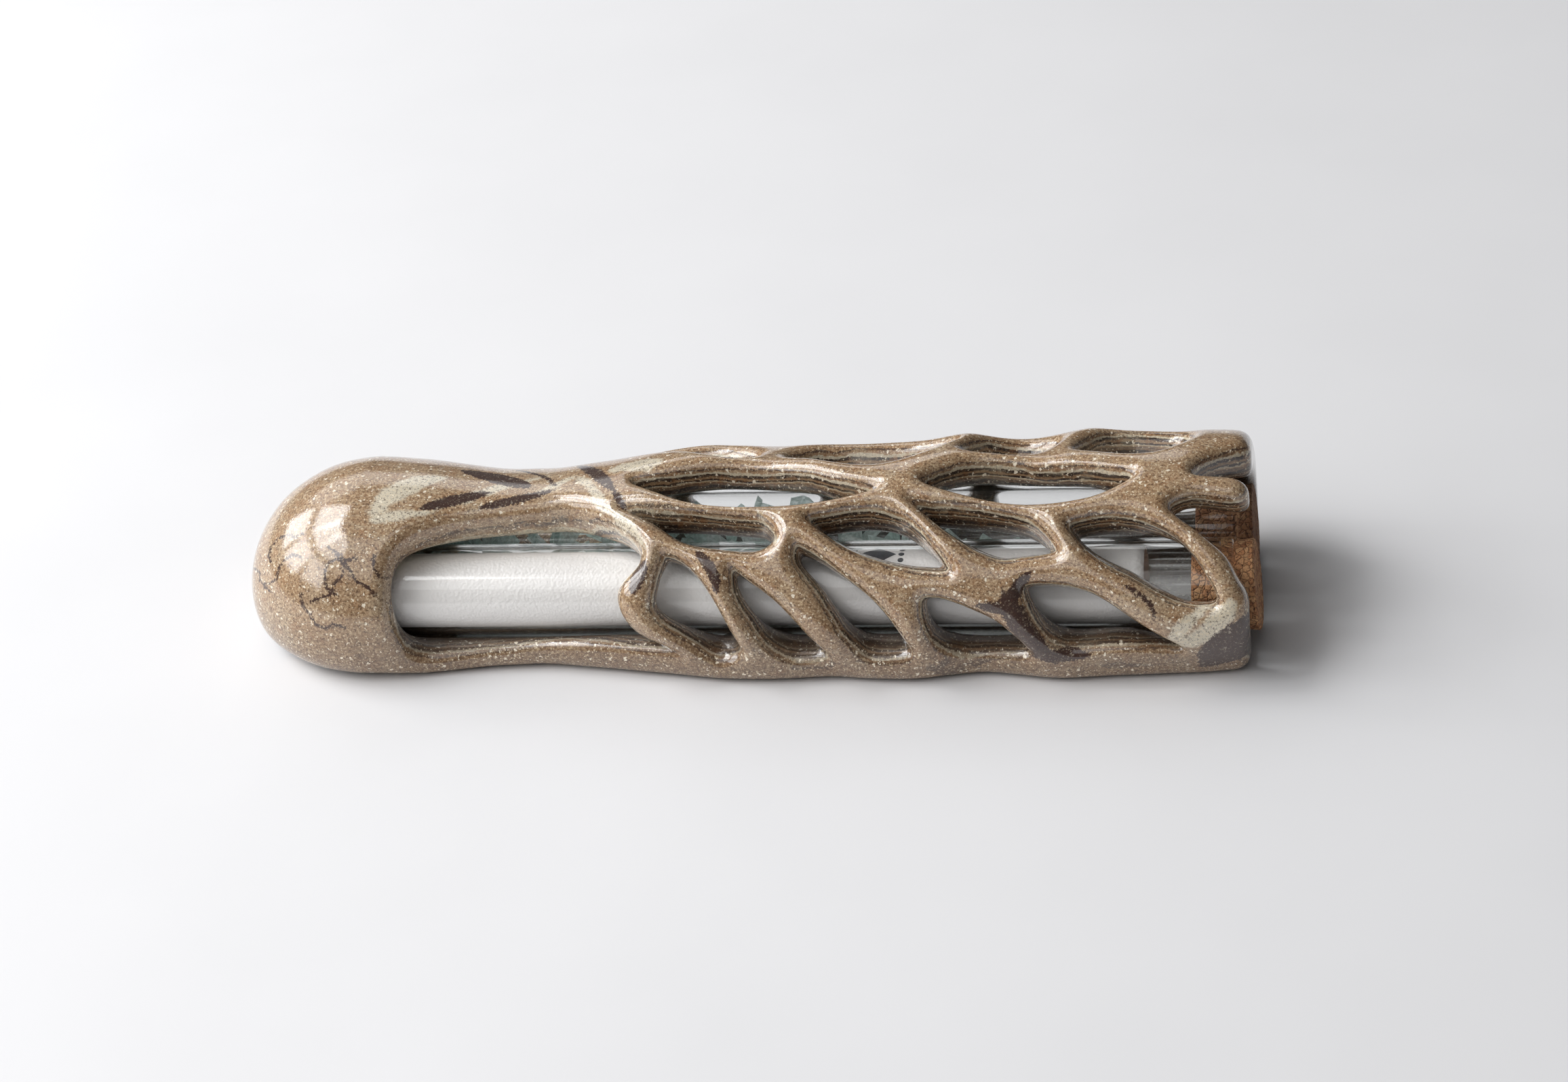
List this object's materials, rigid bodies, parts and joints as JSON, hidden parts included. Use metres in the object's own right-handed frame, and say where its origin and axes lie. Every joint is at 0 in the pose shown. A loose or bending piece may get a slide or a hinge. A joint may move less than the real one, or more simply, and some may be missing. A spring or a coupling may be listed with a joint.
{
  "type": "mezuzah case",
  "caption": "Long vaulted ceramic case with a round head and a branching pierced wall, holding two corked glass tubes: one with a rolled parchment, one with broken glass.",
  "frame": {"origin": "middle of the footprint, on the plane of the flat back", "axes": "+X towards the open end, along the tubes; +Y across, from the scroll tube to the keepsake tube; +Z out of the wall, away from the flat back"},
  "size_m": [0.158, 0.0426, 0.0278],
  "materials": {
    "glazed_clay": "gloss",
    "clear_glass": "polished",
    "cork": "matte",
    "parchment": "matte",
    "aqua_glass": "polished"
  },
  "bodies": {
    "ceramic_case": {"case": "glazed_clay"},
    "scroll_tube_body": {"scroll_tube": "clear_glass"},
    "scroll_cork_body": {"scroll_cork": "cork"},
    "scroll_body": {"scroll": "parchment"},
    "keepsake_tube_body": {"keepsake_tube": "clear_glass", "shard_01": "aqua_glass", "shard_02": "aqua_glass", "shard_03": "aqua_glass", "shard_04": "aqua_glass", "shard_05": "aqua_glass", "shard_06": "aqua_glass", "shard_07": "aqua_glass", "shard_08": "aqua_glass", "shard_09": "aqua_glass", "shard_10": "aqua_glass", "shard_11": "aqua_glass", "shard_12": "aqua_glass", "shard_13": "aqua_glass", "shard_14": "aqua_glass", "shard_15": "aqua_glass", "shard_16": "aqua_glass", "shard_17": "aqua_glass", "shard_18": "aqua_glass", "shard_19": "aqua_glass", "shard_20": "aqua_glass", "shard_21": "aqua_glass", "shard_22": "aqua_glass", "shard_23": "aqua_glass", "shard_24": "aqua_glass", "shard_25": "aqua_glass", "shard_26": "aqua_glass", "shard_27": "aqua_glass", "shard_28": "aqua_glass", "shard_29": "aqua_glass", "shard_30": "aqua_glass"},
    "keepsake_cork_body": {"keepsake_cork": "cork"}
  },
  "joints": [
    {"name": "scroll_tube_slide", "type": "slide", "parent": "ceramic_case", "child": "scroll_tube_body", "axis": [1, 0, 0], "range_m": [0, 0.145]},
    {"name": "scroll_cork_slide", "type": "slide", "parent": "scroll_tube_body", "child": "scroll_cork_body", "axis": [1, 0, 0], "range_m": [0, 0.16]},
    {"name": "scroll_slide", "type": "slide", "parent": "scroll_tube_body", "child": "scroll_body", "axis": [1, 0, 0], "range_m": [0, 0.144]},
    {"name": "keepsake_tube_slide", "type": "slide", "parent": "ceramic_case", "child": "keepsake_tube_body", "axis": [1, 0, 0], "range_m": [0, 0.145]},
    {"name": "keepsake_cork_slide", "type": "slide", "parent": "keepsake_tube_body", "child": "keepsake_cork_body", "axis": [1, 0, 0], "range_m": [0, 0.03]}
  ],
  "couplings": [
    {"joint": "scroll_slide", "follows": "scroll_cork_slide", "ratio": 0.9}
  ]
}
